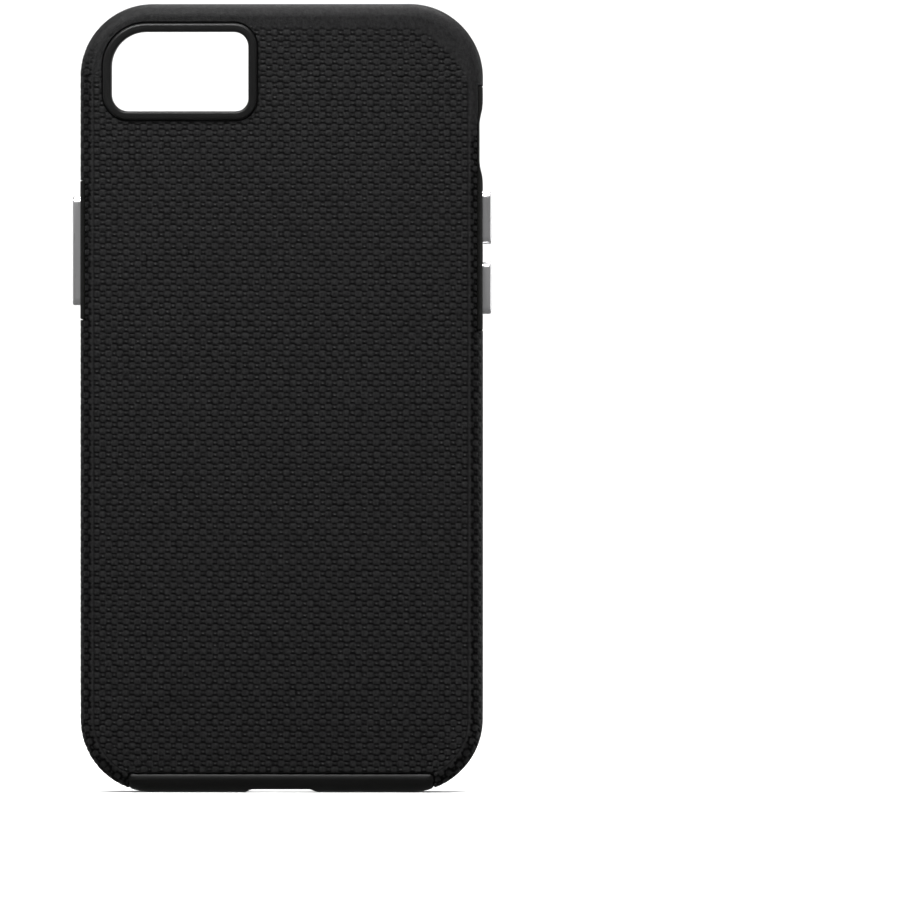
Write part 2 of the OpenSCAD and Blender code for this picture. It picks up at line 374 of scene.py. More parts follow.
def back_grid():
    """The flat back as a grid whose corner blocks are bent into quarter discs."""
    cell_x, cell_up = np.meshgrid(
        cell_lines(CELLS_X, CORE_CELLS_X, STEPS_X),
        cell_lines(CELLS_UP, CORE_CELLS_UP, STEPS_UP),
        indexing="ij",
    )
    x = from_cells(cell_x, CORE_CELLS_X, CORE_X)
    up = from_cells(cell_up, CORE_CELLS_UP, CORE_UP)
    u = np.clip((np.abs(x) - CORE_X) / FLAT_R, 0, 1)
    v = np.clip((np.abs(up) - CORE_UP) / FLAT_R, 0, 1)
    in_corner = (u > 0) & (v > 0)
    bent_x = np.sign(x) * (CORE_X + FLAT_R * u * np.sqrt(1 - v * v / 2))
    bent_up = np.sign(up) * (CORE_UP + FLAT_R * v * np.sqrt(1 - u * u / 2))
    return np.where(in_corner, bent_x, x), np.where(in_corner, bent_up, up)


# The plain band's width at the sides, what the top and the corners add, and its soft edge
PLAIN_W, PLAIN_TOP, PLAIN_CORNER, PLAIN_FADE = 2.2, 1.1, 1.3, 2.0
PLAIN_LEFT = 0.08  # share of the weave that is left in the band


def woven_top(x, up):
    """Share of the weave that shows: little in the plain band along the top edge, 1 below it."""
    dx = np.maximum(np.abs(x) - CORE_X, 0)
    dy = np.maximum(up - CORE_UP, 0)
    from_edge = CORNER_R - np.hypot(dx, dy)
    angle = np.arctan2(dy, np.maximum(dx, 1e-6))
    band = PLAIN_W + PLAIN_TOP * angle / (math.pi / 2) + PLAIN_CORNER * np.sin(2 * angle)
    fade = smooth_step(band, band + PLAIN_FADE, from_edge)
    return np.where(up < CORE_UP - 1e-6, 1.0, PLAIN_LEFT + (1 - PLAIN_LEFT) * fade)


def crease(up):
    """1 along the sides, where a fine crease divides the back from the side, 0 near the top."""
    return smooth_step(CORE_UP + 3, CORE_UP - 2, up)


def shell_back_depth(x, up):
    """Depth of the woven back."""
    amount = woven_top(x, up)
    height = weave(to_cells(x, CORE_CELLS_X, CORE_X), to_cells(up, CORE_CELLS_UP, CORE_UP))
    return BACK - amount * (WEAVE_LOW + (WEAVE_HIGH - WEAVE_LOW) * height)


def border(grid):
    """The grid's outer points, anticlockwise from the bottom of the +x side."""
    return np.concatenate([grid[-1, :-1], grid[::-1, -1][:-1], grid[0, ::-1][:-1], grid[:-1, 0]])


def side_profile():
    """(distance along the profile, reach, depth, outward share, backward share) from the crease."""
    arc = BACK_ROUND * math.pi / 2
    front_r = 0.25
    rows = []
    side_len = SHELL_FRONT - front_r - (BACK + BACK_ROUND)
    count = int(round((arc + side_len) / (CELL / 4)))
    for s in np.linspace(0, arc + side_len, count + 1)[1:]:
        a = min(s / BACK_ROUND, math.pi / 2)
        depth = BACK + BACK_ROUND * (1 - math.cos(a)) + max(s - arc, 0)
        rows.append((s, FLAT_R + BACK_ROUND * math.sin(a), depth, math.sin(a), math.cos(a)))
    for a in quarter(3)[1:]:
        reach = CORNER_R - front_r * (1 - math.cos(a))
        depth = SHELL_FRONT - front_r + front_r * math.sin(a)
        rows.append((arc + side_len + front_r * a, reach, depth, math.cos(a), 0.0))
    return np.array(rows)


def woven_side(x, up, s, depth):
    """Share of the weave that shows on the shell's side, at s millimetres from the crease."""
    from_crease = smooth_step(0.35, 0.75, s)
    to_front = 1 - smooth_step(SHELL_FRONT - 2.6, SHELL_FRONT - 1.4, depth)
    power_side = smooth_step(TOP - 5.5, TOP - 15, up)
    volume_side = smooth_step(TOP - 19, TOP - 27, up)
    from_top = np.where(x > 0, power_side, volume_side)
    to_side = 1 - 0.6 * smooth_step(0.45, 1.0, (depth - BACK) / BACK_ROUND)
    return from_crease * to_front * from_top * to_side


def way_out(edge_x, edge_up):
    """For each border point, the core rectangle's nearest point and the direction out from it."""
    core_x = np.clip(edge_x, -CORE_X, CORE_X)
    core_up = np.clip(edge_up, -CORE_UP, CORE_UP)
    out_x, out_up = (edge_x - core_x) / FLAT_R, (edge_up - core_up) / FLAT_R
    length = np.hypot(out_x, out_up)
    return core_x, core_up, out_x / length, out_up / length


def side_rings(edge_x, edge_up):
    """Rings from the crease round the back's edge and down the side, with the weave's relief."""
    core_x, core_up, out_x, out_up = way_out(edge_x, edge_up)
    step = np.hypot(np.diff(edge_x, append=edge_x[0]), np.diff(edge_up, append=edge_up[0]))
    run = np.concatenate([[0], np.cumsum(step)[:-1]])
    on_long_side = np.abs(edge_up) <= CORE_UP
    along = np.where(on_long_side, to_cells(edge_up, CORE_CELLS_UP, CORE_UP), run / CELL)
    rings = []
    for s, reach, depth, outward, backward in side_profile():
        shown = woven_side(core_x + reach * out_x, edge_up, s, depth)
        height = weave(np.full_like(along, s / CELL + 0.5), along)
        rise = shown * SIDE_LOW * np.clip(1 - height, 0, 1)
        far = reach + rise * outward
        rings.append(place(core_x + far * out_x, core_up + far * out_up, depth - rise * backward))
    return rings


def shell_body(material, cut_material):
    """The shell's outer skin closed by a flat front, before its inside is cut away."""
    x, up = back_grid()
    index = np.arange(x.size).reshape(x.shape)
    edge_x, edge_up, edge_index = border(x), border(up), border(index)
    depth = shell_back_depth(x, up).ravel()
    depth[edge_index] = BACK + CREASE_DEPTH * crease(edge_up) * woven_top(edge_x, edge_up)
    rings = side_rings(edge_x, edge_up)
    points = np.concatenate([place(x, up, depth.reshape(x.shape))] + rings)
    corners = [index[:-1, :-1], index[:-1, 1:], index[1:, 1:], index[1:, :-1]]
    quads = np.stack(corners, -1).reshape(-1, 4)
    around = len(edge_x)
    k = np.arange(around)
    after = (k + 1) % around
    first = np.column_stack([edge_index, edge_index[after], x.size + after, x.size + k])
    faces = quads.tolist() + first.tolist() + strip_faces(len(rings), around, x.size)
    faces.append([x.size + (len(rings) - 1) * around + i for i in range(around)])
    return new_piece("shell_piece", points, faces, (material, cut_material))


# ---- cutting shapes --------------------------------------------------------------------------


def window_cutter(grow, levels):
    """A loft through the back at the camera window. Levels are (depth, extra grow)."""
    rings = []
    for depth, extra in levels:
        flat = outline(RING_W, RING_H, RING_RADII, grow + extra, steps=12)
        rings.append(place(RING_X + flat[:, 0], RING_UP + flat[:, 1], depth))
    return loft("cutter", rings)


def block(x0, x1, up0, up1, depth0, depth1):
    """A box-shaped cutter."""
    corners = [(x0, up0), (x1, up0), (x1, up1), (x0, up1)]
    rings = [place([c[0] for c in corners], [c[1] for c in corners], d) for d in (depth0, depth1)]
    return loft("cutter", rings)


def trough(middle, length, slope, depth, surface, turn):
    """A cutter for a shallow dip with smooth ends. turn(along, out, depth) places a point."""
    t = np.linspace(0, 1, 9)
    sink = depth * (1 - np.cos(np.pi * t)) / 2
    start = middle - length / 2 + slope * t
    end = middle + length / 2 - slope * t[::-1]
    along = np.concatenate([start, end])
    out = surface - np.concatenate([sink, sink[::-1]])
    along = np.concatenate([along, [middle + length / 2, middle - length / 2]])
    out = np.concatenate([out, [surface + PAST, surface + PAST]])
    return loft("cutter", [turn(along, out, d) for d in (BACK - 1, BEND_END, LIP_FRONT + 1)])


def on_volume_side(along, out, depth):
    return place(-out, along, depth)


def on_power_side(along, out, depth):
    return place(out, along, depth)


def on_bottom(along, out, depth):
    return place(along, -out, depth)


def bottom_hole(x, length, width, surface, fillet):
    """A cutter for an opening through the bottom edge, with rounded edges."""
    rings = []
    for out, grow in hole_levels(surface, CAVITY_H / 2, fillet, fillet):
        flat = outline(length, width, (width / 2 - 0.01,) * 4, grow)
        rings.append(place(x + flat[:, 0], -out, MID_DEPTH + flat[:, 1]))
    return loft("cutter", rings)


# ---- pieces ----------------------------------------------------------------------------------


def build_shell(material, cut_material):
    """The hard shell, with its inside, window and side and bottom cutouts cut away."""
    shell = face_outward(shell_body(material, cut_material))
    inside = envelope("cutter", SHELL_T, SHELL_FRONT + 1)
    combine(shell, inside)
    edge = 0.22
    levels = [(LINER_BACK + 1, 0.0), (BACK + edge, 0.0)]
    levels += [
        (BACK + edge * (1 - math.sin(a)) - 0.03, edge * (1 - math.cos(a)))
        for a in quarter()[1:]
    ]
    levels += [(BACK - PAST, edge)]
    combine(shell, window_cutter(RING_GAP, levels))
    flange_room = [(LINER_BACK - 0.4, 0), (LINER_BACK + 1, 0)]
    combine(shell, window_cutter(RING_FLANGE + RING_GAP, flange_room))
    cut_back = BACK + CUT_FROM_BACK
    reach = SIDE - BACK_ROUND
    front = SHELL_FRONT + 1
    combine(shell, block(-SIDE - PAST, -reach, *LEFT_CUT, cut_back, front))
    combine(shell, block(reach, SIDE + PAST, *RIGHT_CUT, cut_back, front))
    combine(shell, block(-CHIN_W / 2, CHIN_W / 2, -TOP - PAST, -TOP + CHIN_H, BACK - PAST, front))
    return shell


def lip_rings(low):
    """The liner's lip: from low up its outer side, over the crest and down to the phone's space."""
    lip_r = CORNER_R - LIP_INSET
    foot, foot_bend = 0.12, 0.035
    rings = [
        around_core(lip_r - foot, low),
        around_core(lip_r - foot_bend, low + foot_bend),
        around_core(lip_r, low + foot),
    ]
    for a in quarter(10):
        reach = lip_r - LIP_ROUND * (1 - math.cos(a))
        rings.append(around_core(reach, LIP_FRONT - LIP_ROUND + LIP_ROUND * math.sin(a)))
    crest_in = lip_r - LIP_ROUND - LIP_CREST
    inner = lip_r - LIP_W
    fall = LIP_FRONT - CAVITY_D - LIP_EDGE
    for t in np.linspace(0, 1, 9):
        reach = crest_in + (inner + 0.12 - crest_in) * t
        rings.append(around_core(reach, LIP_FRONT - fall * smooth_step(-0.15, 1.1, t)))
    rings.append(around_core(inner, CAVITY_D + LIP_EDGE - 0.1))
    rings.append(around_core(inner, CAVITY_D + 0.1))
    rings.append(around_core(inner + 0.1, CAVITY_D))
    return rings


def cavity_ring(inset, depth):
    """A ring around the phone's space, moved in by inset."""
    half_w, half_h = CAVITY_W / 2, CAVITY_H / 2
    return case_ring(half_w - inset, half_h - inset, CAVITY_R - inset, depth)


def tray_rings():
    """The liner as one sweep: back, side, lip, then down the phone's space to its seat."""
    clear, corner, fillet = 0.03, 0.15, 0.8
    rings = [around_core(*level) for level in envelope_levels(SHELL_T + clear, SHELL_FRONT)]
    rings += lip_rings(SHELL_FRONT + clear)
    rings.append(cavity_ring(corner, CAVITY_D))
    rings.append(cavity_ring(0, CAVITY_D - corner))
    for a in quarter(6):
        rings.append(cavity_ring(fillet * (1 - math.cos(a)), fillet * (1 - math.sin(a))))
    rings.append(cavity_ring(fillet + 0.15, 0.0))
    return rings


def shell_section(inset, start_depth, end_depth):
    """(out, depth) points down the shell's outer side, moved in by inset."""
    centre_out, centre_depth = SIDE - BACK_ROUND, BACK + BACK_ROUND
    r = BACK_ROUND - inset
    first = math.acos(min(1, (centre_depth - start_depth - inset) / r))
    turn = np.linspace(first, math.pi / 2, 9)
    arc = [(centre_out + r * math.sin(a), centre_depth - r * math.cos(a)) for a in turn]
    return arc + [(centre_out + r, end_depth)]


def bare_strip(low, high, start_depth, turn, end_round):
    """A strip of liner, flush with the shell, that fills a cutout in it from low to high."""
    stations = []
    for a in quarter(5):
        stations.append((low + end_round * (1 - math.cos(a)), end_round * (1 - math.sin(a))))
    stations += [(low + high - s, inset) for s, inset in stations[::-1]]
    lip_out = SIDE - LIP_INSET
    rings = []
    for along, inset in stations:
        outer = shell_section(inset, start_depth, BEND_START)
        bend = [(lip_out - inset, BEND_END), (lip_out - inset - 0.4, BARE_END)]
        inner = [(SIDE - 2.1, BARE_END), (SIDE - 2.1, BACK + BACK_ROUND - 0.4)]
        first_out, first_depth = outer[0]
        edge = [(first_out - 0.9, first_depth + 0.14), (first_out - 0.14, first_depth + 0.02)]
        section = np.array(outer + bend + inner + edge)
        rings.append(turn(np.full(len(section), along), section[:, 0], section[:, 1]))
    return loft("strip", rings)


def bottom_up(x, reach):
    """Height of the bottom edge at x, for the outline at this reach from its corners' centres."""
    beyond = max(abs(x) - CORE_X, 0)
    return -CORE_UP - math.sqrt(reach * reach - beyond * beyond)


CROWN_H, CROWN_D = 1.15, 0.55  # height and depth of the rounding along the chin's top edge


def chin_section(x, inset):
    """(up, depth) points around the bare bottom strip at x, moved in by inset."""
    top_up = -TOP + CHIN_H - PART_GAP - inset
    section = [(top_up, LINER_BACK + 0.3)]
    for a in quarter(7):
        up = top_up - CROWN_H * (1 - math.cos(a))
        section.append((up, BACK + inset + CROWN_D * (1 - math.sin(a))))
    r = BACK_ROUND - inset
    for a in quarter(12)[1:]:
        up = bottom_up(x, FLAT_R + r * math.sin(a))
        section.append((up, BACK + BACK_ROUND - r * math.cos(a)))
    side = CORNER_R - inset
    lip = side - LIP_INSET
    section.append((bottom_up(x, side), BEND_START))
    section.append((bottom_up(x, lip), BEND_END))
    section.append((bottom_up(x, lip - 0.4), BARE_END))
    section.append((bottom_up(x, CORNER_R - 2.0), BARE_END))
    section.append((bottom_up(x, CORNER_R - 2.0), LINER_BACK + 1.4))
    section.append((bottom_up(x, CORNER_R - 2.9), LINER_BACK + 0.3))
    return section


def chin():
    """The bare strip along the bottom edge, which comes round onto the back."""
    half, end_round = CHIN_W / 2 - PART_GAP, 0.8
    stations = [
        (half - end_round * (1 - math.cos(a)), 0.6 * end_round * (1 - math.sin(a)))
        for a in quarter(7)
    ]
    stations += [(x, 0.0) for x in np.linspace(half - end_round, CORE_X, 6)[1:]]
    stations = stations + [(-x, inset) for x, inset in stations[::-1]]
    rings = []
    for x, inset in stations[::-1]:
        points = np.array(chin_section(x, inset))
        rings.append(place(np.full(len(points), x), points[:, 0], points[:, 1]))
    return loft("strip", rings)


# The liner's sides and chin take duller materials whose darker colours are painted shade.
SIDE_FINISH_AND_SHADE, CHIN_FINISH_AND_SHADE = 1, 2  # places in the liner's list of materials


def outer_finish_and_shade(liner):
    """Gives the liner's sides and chin behind the lip duller materials, their darker colour painted
    shade.
    """
    mesh = liner.data
    centres = values_of(mesh.polygons, "center", 3) / MM
    slots = values_of(mesh.polygons, "material_index", kind=np.int32)
    across, depth, up = centres[:, 0], -centres[:, 1], centres[:, 2]
    behind_lip = depth < SHELL_FRONT + 0.1
    on_side = (np.abs(across) > SIDE - 1.9) & (np.abs(up) < CORE_UP)
    on_chin = (np.abs(across) < CHIN_W / 2) & (up < -TOP + CHIN_H)
    past_liner = (depth < LINER_BACK - 0.05) | (up < -CAVITY_H / 2 - 0.3)
    slots[on_side & behind_lip] = SIDE_FINISH_AND_SHADE
    slots[on_chin & past_liner & behind_lip] = CHIN_FINISH_AND_SHADE
    mesh.polygons.foreach_set("material_index", slots)


def bare_parts(liner):
    """Joins on the strips of liner that fill the shell's side and bottom cutouts."""
    start = BACK + CUT_FROM_BACK + PART_GAP
    left = (LEFT_CUT[0] + PART_GAP, LEFT_CUT[1] - PART_GAP)
    right = (RIGHT_CUT[0] + PART_GAP, RIGHT_CUT[1] - PART_GAP)
    combine(liner, bare_strip(*left, start, on_volume_side, 0.3), "UNION")
    combine(liner, bare_strip(*right, start, on_power_side, 0.3), "UNION")
    combine(liner, chin(), "UNION")


def liner_openings(liner):
    """Cuts the scoop, the recess, the window, the slots of the buttons and the other openings."""
    combine(liner, trough(MUTE_UP, SCOOP_LEN, SCOOP_SLOPE, SCOOP_DEPTH, SIDE, on_volume_side))
    combine(liner, trough(0, RECESS_LEN, RECESS_SLOPE, RECESS_DEPTH, TOP, on_bottom))
    window = [(BACK - 1, 0), (-0.3, 0), (-0.09, 0.09), (0.01, 0.3), (1, 0.3)]
    combine(liner, window_cutter(-RING_T, window))
    wall = CAVITY_W / 2
    mute = bar_outline(MUTE_W, MUTE_LEN, MUTE_W / 2 - 0.01)
    mute_levels = hole_levels(SIDE - SCOOP_DEPTH, wall, 0.4, 0.2)
    combine(liner, side_loft("cutter", -1, MUTE_UP, mute_levels, mute))
    for node, side in BUTTONS.items():
        width, length, _, _, up = side_box(node, side)
        slot = bar_outline(width + 2 * SLOT_GAP, length + 2 * SLOT_GAP, BUTTON_R + SLOT_GAP)
        combine(liner, side_loft("cutter", side, up, hole_levels(SIDE, wall, 0.18, 0.2), slot))
    combine(liner, bottom_hole(0, PORT_LEN, PORT_W, TOP - RECESS_DEPTH, 0.35))
    for x in (-SOUND_X, SOUND_X):
        combine(liner, bottom_hole(x, SOUND_LEN, SOUND_W, TOP, 0.3))


def build_liner(material, side_shaded_material, chin_shaded_material):
    """The soft liner, whose materials are in the order that outer_finish_and_shade() uses."""
    materials = (material, side_shaded_material, chin_shaded_material)
    liner = face_outward(loft("liner_piece", tray_rings(), materials))
    bare_parts(liner)
    liner_openings(liner)
    outer_finish_and_shade(liner)
    return liner


def build_ring(material):
    """The raised ring: rounded on both top edges, with its flange under the shell."""
    out_round, in_round = 0.55, 0.5
    base = LINER_BACK - 0.02
    levels = [(RING_FLANGE, base), (RING_FLANGE, base - 0.38)]
    levels += [(0.02, base - 0.38), (0.0, base - 0.42)]
    levels += [
        (-out_round * (1 - math.cos(a)), RING_TOP + out_round * (1 - math.sin(a)))
        for a in quarter(7)
    ]
    levels += [
        (-RING_T + in_round * (1 - math.sin(a)), RING_TOP + in_round * (1 - math.cos(a)))
        for a in quarter(7)
    ]
    levels += [(-RING_T, base)]
    rings = []
    for grow, depth in levels:
        flat = outline(RING_W, RING_H, RING_RADII, grow, steps=14)
        rings.append(place(RING_X + flat[:, 0], RING_UP + flat[:, 1], depth))
    return closed_loop("ring_piece", rings, material)


BUTTONS = {"power_button": 1, "volume_up_button": -1, "volume_down_button": -1}
BUTTON_R = 1.3


def side_box(node, side):
    """(width, length, inner reach, outer reach, middle height) of a piece on one side."""
    low, high = box_mm(node)
    base, top = (low[0], high[0]) if side > 0 else (-high[0], -low[0])
    return high[1] - low[1], high[2] - low[2], base, top, (low[2] + high[2]) / 2


def build_button(node, side, material):
    """A metal bar with bevelled edges and a slightly crowned face."""
    width, length, base, top, up = side_box(node, side)
    bevel = 0.32
    levels = [(base, -0.1), (base + 0.1, 0.0)]
    levels += [(top - bevel + bevel * math.sin(a), -bevel * (1 - math.cos(a))) for a in quarter(5)]
    levels += [(top + 0.012, -bevel - 0.15), (top + 0.03, -bevel - 0.55)]
    shape = bar_outline(width, length, BUTTON_R, steps=12)
    name = node.replace("_button", "_bar")
    return face_outward(side_loft(name, side, up, levels, shape, (material,)))


def build_plunger(node, side, material):
    """A rubber post with a rounded inner end."""
    width, length, base, top, up = side_box(node, side)
    end_r = 0.3
    levels = [(base, -end_r - 0.2)]
    levels += [
        (base + end_r * (1 - math.sin(a)), -end_r * (1 - math.cos(a)))
        for a in quarter(5)[::-1]
    ]
    levels += [(top, 0.0)]
    shape = bar_outline(width, length, width / 2 - 0.01)
    name = node.replace("_plunger", "_post")
    return face_outward(side_loft(name, side, up, levels, shape, (material,)))


WEB_T, WEB_GAP = 0.16, 0.04  # thickness, and the post's clearance in the web across both sides
WEB_STEPS = 7


def build_web(node, plunger, side, material):
    """A thin dished web from the slot's wall up to the post."""
    width, length, base, top, up = side_box(node, side)
    post_w, post_len = side_box(plunger, side)[:2]
    shares = np.linspace(0, 1, WEB_STEPS)
    heights = base + (top - WEB_T - base) * smooth_step(0.1, 0.9, shares)
    rings = []
    for lift, order in ((WEB_T, range(WEB_STEPS)), (0.0, range(WEB_STEPS - 1, -1, -1))):
        for i in order:
            across = width + (post_w + WEB_GAP - width) * shares[i]
            along = length + (post_len + WEB_GAP - length) * shares[i]
            flat = outline(across, along, (across / 2 - 0.2,) * 4)
            rings.append(place(side * (heights[i] + lift), up + flat[:, 1], MID_DEPTH + flat[:, 0]))
    return closed_loop(node + "_dish", rings, material), (side * base * MM, 0, 0)


# ---- shading helpers -------------------------------------------------------------------------

FLAT_AREA = 40 * MM * MM  # a face larger than this is a flat with sharp edges


def shade(piece, sharp_degrees, keep_smooth=()):
    """Smooth shading, with sharp edges past the angle, between materials and round big flats."""
    mesh = piece.data
    mesh.shade_smooth()
    limit = math.cos(math.radians(sharp_degrees))
    normals = values_of(mesh.polygons, "normal", 3)
    slots = values_of(mesh.polygons, "material_index", kind=np.int32)
    loops = values_of(mesh.loops, "edge_index", kind=np.int32)
    totals = values_of(mesh.polygons, "loop_total", kind=np.int32)
    area = values_of(mesh.polygons, "area")
    owner = np.repeat(np.arange(len(mesh.polygons)), totals)
    order = np.argsort(loops, kind="stable")
    edges, faces = loops[order], owner[order]
    same = edges[:-1] == edges[1:]
    edge, one, two = edges[:-1][same], faces[:-1][same], faces[1:][same]
    bent = np.einsum("ij,ij->i", normals[one], normals[two]) < limit
    bent |= np.maximum(area[one], area[two]) > FLAT_AREA
    smooth_pair = np.isin(slots[one], keep_smooth) & (slots[one] == slots[two])
    sharp = np.zeros(len(mesh.edges), bool)
    sharp[edge[(bent & ~smooth_pair) | (slots[one] != slots[two])]] = True
    attribute = mesh.attributes.get("sharp_edge")
    if attribute is None:
        attribute = mesh.attributes.new("sharp_edge", "BOOLEAN", "EDGE")
    attribute.data.foreach_set("value", sharp)
    mesh.update()
    return piece


def store_rise(piece):
    """Keeps, for each point, how far it stands out from the shell's smooth outer surface."""
    mesh = piece.data
    points = values_of(mesh.vertices, "co", 3) / MM
    x, depth, up = points[:, 0], -points[:, 1], points[:, 2]
    reach = np.hypot(np.maximum(np.abs(x) - CORE_X, 0), np.maximum(np.abs(up) - CORE_UP, 0))
    over = np.maximum(reach - FLAT_R, 0)
    behind = np.maximum(BACK + BACK_ROUND - depth, 0)
    rise = np.hypot(over, behind) - BACK_ROUND
    attribute = mesh.attributes.new("rise", "FLOAT", "POINT")
    attribute.data.foreach_set("value", rise.astype(np.float32))


# ---- materials -------------------------------------------------------------------------------

SHELL_DARK, SHELL_LIGHT = (0.0042, 0.0042, 0.0043), (0.0116, 0.0116, 0.0118)
# The tip colour is a painted highlight on the dots' tops; the pit colour is painted shade in the
# weave's hollows and crease.
SHELL_TIP_HIGHLIGHT, SHELL_PIT_SHADE = (0.032, 0.032, 0.0322), (0.0002, 0.0002, 0.0002)
SHELL_SHINE = 0.08
LINER_DARK, LINER_LIGHT = (0.0022, 0.0022, 0.0019), (0.0036, 0.0036, 0.0031)
# The sides' colours are a slightly darker copy of the liner's: painted shade.
SIDE_SHADED_DARK, SIDE_SHADED_LIGHT = (0.0018, 0.0018, 0.0016), (0.003, 0.003, 0.0026)
# The chin's colours are a copy of the liner's at about half the lightness: painted shade.
CHIN_SHADED_DARK, CHIN_SHADED_LIGHT = (0.0012, 0.0012, 0.0010), (0.0018, 0.0018, 0.0016)
RING_DARK, RING_LIGHT = (0.003, 0.003, 0.003), (0.0045, 0.0045, 0.0045)
POST_DARK, POST_LIGHT = (0.006, 0.006, 0.006), (0.008, 0.008, 0.008)
WEB_DARK, WEB_LIGHT = (0.006, 0.006, 0.0055), (0.008, 0.008, 0.0075)
METAL_DARK, METAL_LIGHT = (0.68, 0.68, 0.69), (0.80, 0.80, 0.81)


class Nodes:
    """A small wrapper that keeps the node trees below short."""

    def __init__(self, name):
        self.material = bpy.data.materials.new(name)
        self.material.use_nodes = True
        self.tree = self.material.node_tree
        self.shader = self.tree.nodes["Principled BSDF"]
        self.coords = self.add("ShaderNodeTexCoord").outputs["Object"]

    def add(self, kind, **settings):
        node = self.tree.nodes.new(kind)
        for key, value in settings.items():
            setattr(node, key, value)
        return node

    def link(self, source, target):
        self.tree.links.new(source, target)

    def noise(self, scale, detail=2.0, roughness=0.5, stretch=None):
        """Noise from 0 to 1 over the piece's own coordinates."""
        source = self.coords
        if stretch is not None:
            mapping = self.add("ShaderNodeMapping")
            mapping.inputs["Scale"].default_value = stretch
            self.link(self.coords, mapping.inputs["Vector"])
            source = mapping.outputs["Vector"]
        node = self.add("ShaderNodeTexNoise")
        node.inputs["Scale"].default_value = scale
        node.inputs["Detail"].default_value = detail
        node.inputs["Roughness"].default_value = roughness
        self.link(source, node.inputs["Vector"])
        return node.outputs["Fac"]

    def span(self, value, from_low, from_high, to_low, to_high):
        """The value moved from one range to another, and kept inside it."""
        node = self.add("ShaderNodeMapRange")
        for socket, number in (
            ("From Min", from_low),
            ("From Max", from_high),
            ("To Min", to_low),
            ("To Max", to_high),
        ):
            node.inputs[socket].default_value = number
        self.link(value, node.inputs["Value"])
        return node.outputs["Result"]

    def blend(self, amount, low, high):
        """A mix of low and high, each of them a colour or a socket."""
        node = self.add("ShaderNodeMix", data_type="RGBA")
        for socket, colour in ((6, low), (7, high)):
            if isinstance(colour, tuple):
                node.inputs[socket].default_value = (*colour, 1)
            else:
                self.link(colour, node.inputs[socket])
        self.link(amount, node.inputs[0])
        return node.outputs[2]

    def bump(self, height, distance, strength=1.0, under=None):
        """A normal tilted by height, over another normal if one is given."""
        node = self.add("ShaderNodeBump")
        node.inputs["Distance"].default_value = distance
        node.inputs["Strength"].default_value = strength
        self.link(height, node.inputs["Height"])
        if under is not None:
            self.link(under, node.inputs["Normal"])
        return node.outputs["Normal"]


def shell_material():
    """The woven skin: painted shade in its hollows, a painted highlight on each dot, and a fine
    grain.
    """
    n = Nodes("shell_weave")
    rise = n.add("ShaderNodeAttribute", attribute_name="rise").outputs["Fac"]
    speckle = n.noise(3200.0, detail=2.0)
    thread = n.noise(1900.0, detail=3.0, roughness=0.7, stretch=(1.0, 1.0, 0.7))
    tone = n.blend(n.span(thread, 0.32, 0.66, 0.0, 1.0), SHELL_DARK, SHELL_LIGHT)
    # Painted highlight: a lighter colour where the dots stand out of the smooth surface.
    highlit_tone = n.blend(n.span(rise, 0.0, 0.03, 0.0, 1.0), tone, SHELL_TIP_HIGHLIGHT)
    # Painted shade: the colour falls towards the pit colour in the weave's hollows and the crease
    # between back and side.
    height = n.span(rise, WEAVE_LOW * 0.8, -0.03, 0.0, 1.0)
    n.link(n.blend(height, SHELL_PIT_SHADE, highlit_tone), n.shader.inputs["Base Color"])
    n.link(n.span(n.noise(900.0, detail=2.0), 0.3, 0.7, 0.48, 0.60), n.shader.inputs["Roughness"])
    n.shader.inputs["Specular IOR Level"].default_value = SHELL_SHINE
    n.link(n.bump(speckle, 0.00010, 0.7), n.shader.inputs["Normal"])
    return n.material


def plain_shell_material():
    """The shell's cut faces and its inside."""
    n = Nodes("shell_plain")
    grain = n.noise(5200.0, detail=2.0)
    n.link(n.blend(n.noise(60.0), SHELL_DARK, SHELL_LIGHT), n.shader.inputs["Base Color"])
    n.link(n.span(grain, 0.3, 0.7, 0.48, 0.58), n.shader.inputs["Roughness"])
    n.shader.inputs["Specular IOR Level"].default_value = SHELL_SHINE
    n.link(n.bump(grain, 0.00004, 0.4), n.shader.inputs["Normal"])
    return n.material


def soft_material(name, dark, light, rough_low, rough_high, specular):
    """A rubbery surface with a fine grain and a faint waviness."""
    n = Nodes(name)
    cloud = n.noise(45.0, detail=3.0)
    n.link(n.blend(n.span(cloud, 0.3, 0.7, 0.0, 1.0), dark, light), n.shader.inputs["Base Color"])
    fine = n.noise(4200.0, detail=3.0)
    n.link(n.span(n.noise(700.0), 0.3, 0.7, rough_low, rough_high), n.shader.inputs["Roughness"])
    n.shader.inputs["Specular IOR Level"].default_value = specular
    wave = n.bump(n.noise(220.0), 0.00012, 0.25)
    n.link(n.bump(fine, 0.00005, 0.45, under=wave), n.shader.inputs["Normal"])
    return n.material


def metal_material():
    """Metal brushed along the buttons."""
    n = Nodes("button_metal")
    n.shader.inputs["Metallic"].default_value = 1.0
    brushed = n.noise(900.0, detail=4.0, stretch=(1.0, 6.0, 0.06))
    n.link(n.blend(n.noise(120.0), METAL_DARK, METAL_LIGHT), n.shader.inputs["Base Color"])
    n.link(n.span(brushed, 0.3, 0.7, 0.22, 0.36), n.shader.inputs["Roughness"])
    n.link(n.bump(brushed, 0.00003, 0.35), n.shader.inputs["Normal"])
    return n.material


# ---- build -----------------------------------------------------------------------------------

weave_skin = shell_material()
shell_plain = plain_shell_material()
# The numbers are the lowest and highest roughness and the specular level
liner_skin = soft_material("liner_soft", LINER_DARK, LINER_LIGHT, 0.34, 0.41, 0.5)
# The liner's sides: the same rubber in a colour darkened as painted shade, rougher and less glossy.
liner_side_skin = soft_material("liner_side_shaded", SIDE_SHADED_DARK, SIDE_SHADED_LIGHT, 0.56, 0.64, 0.05)
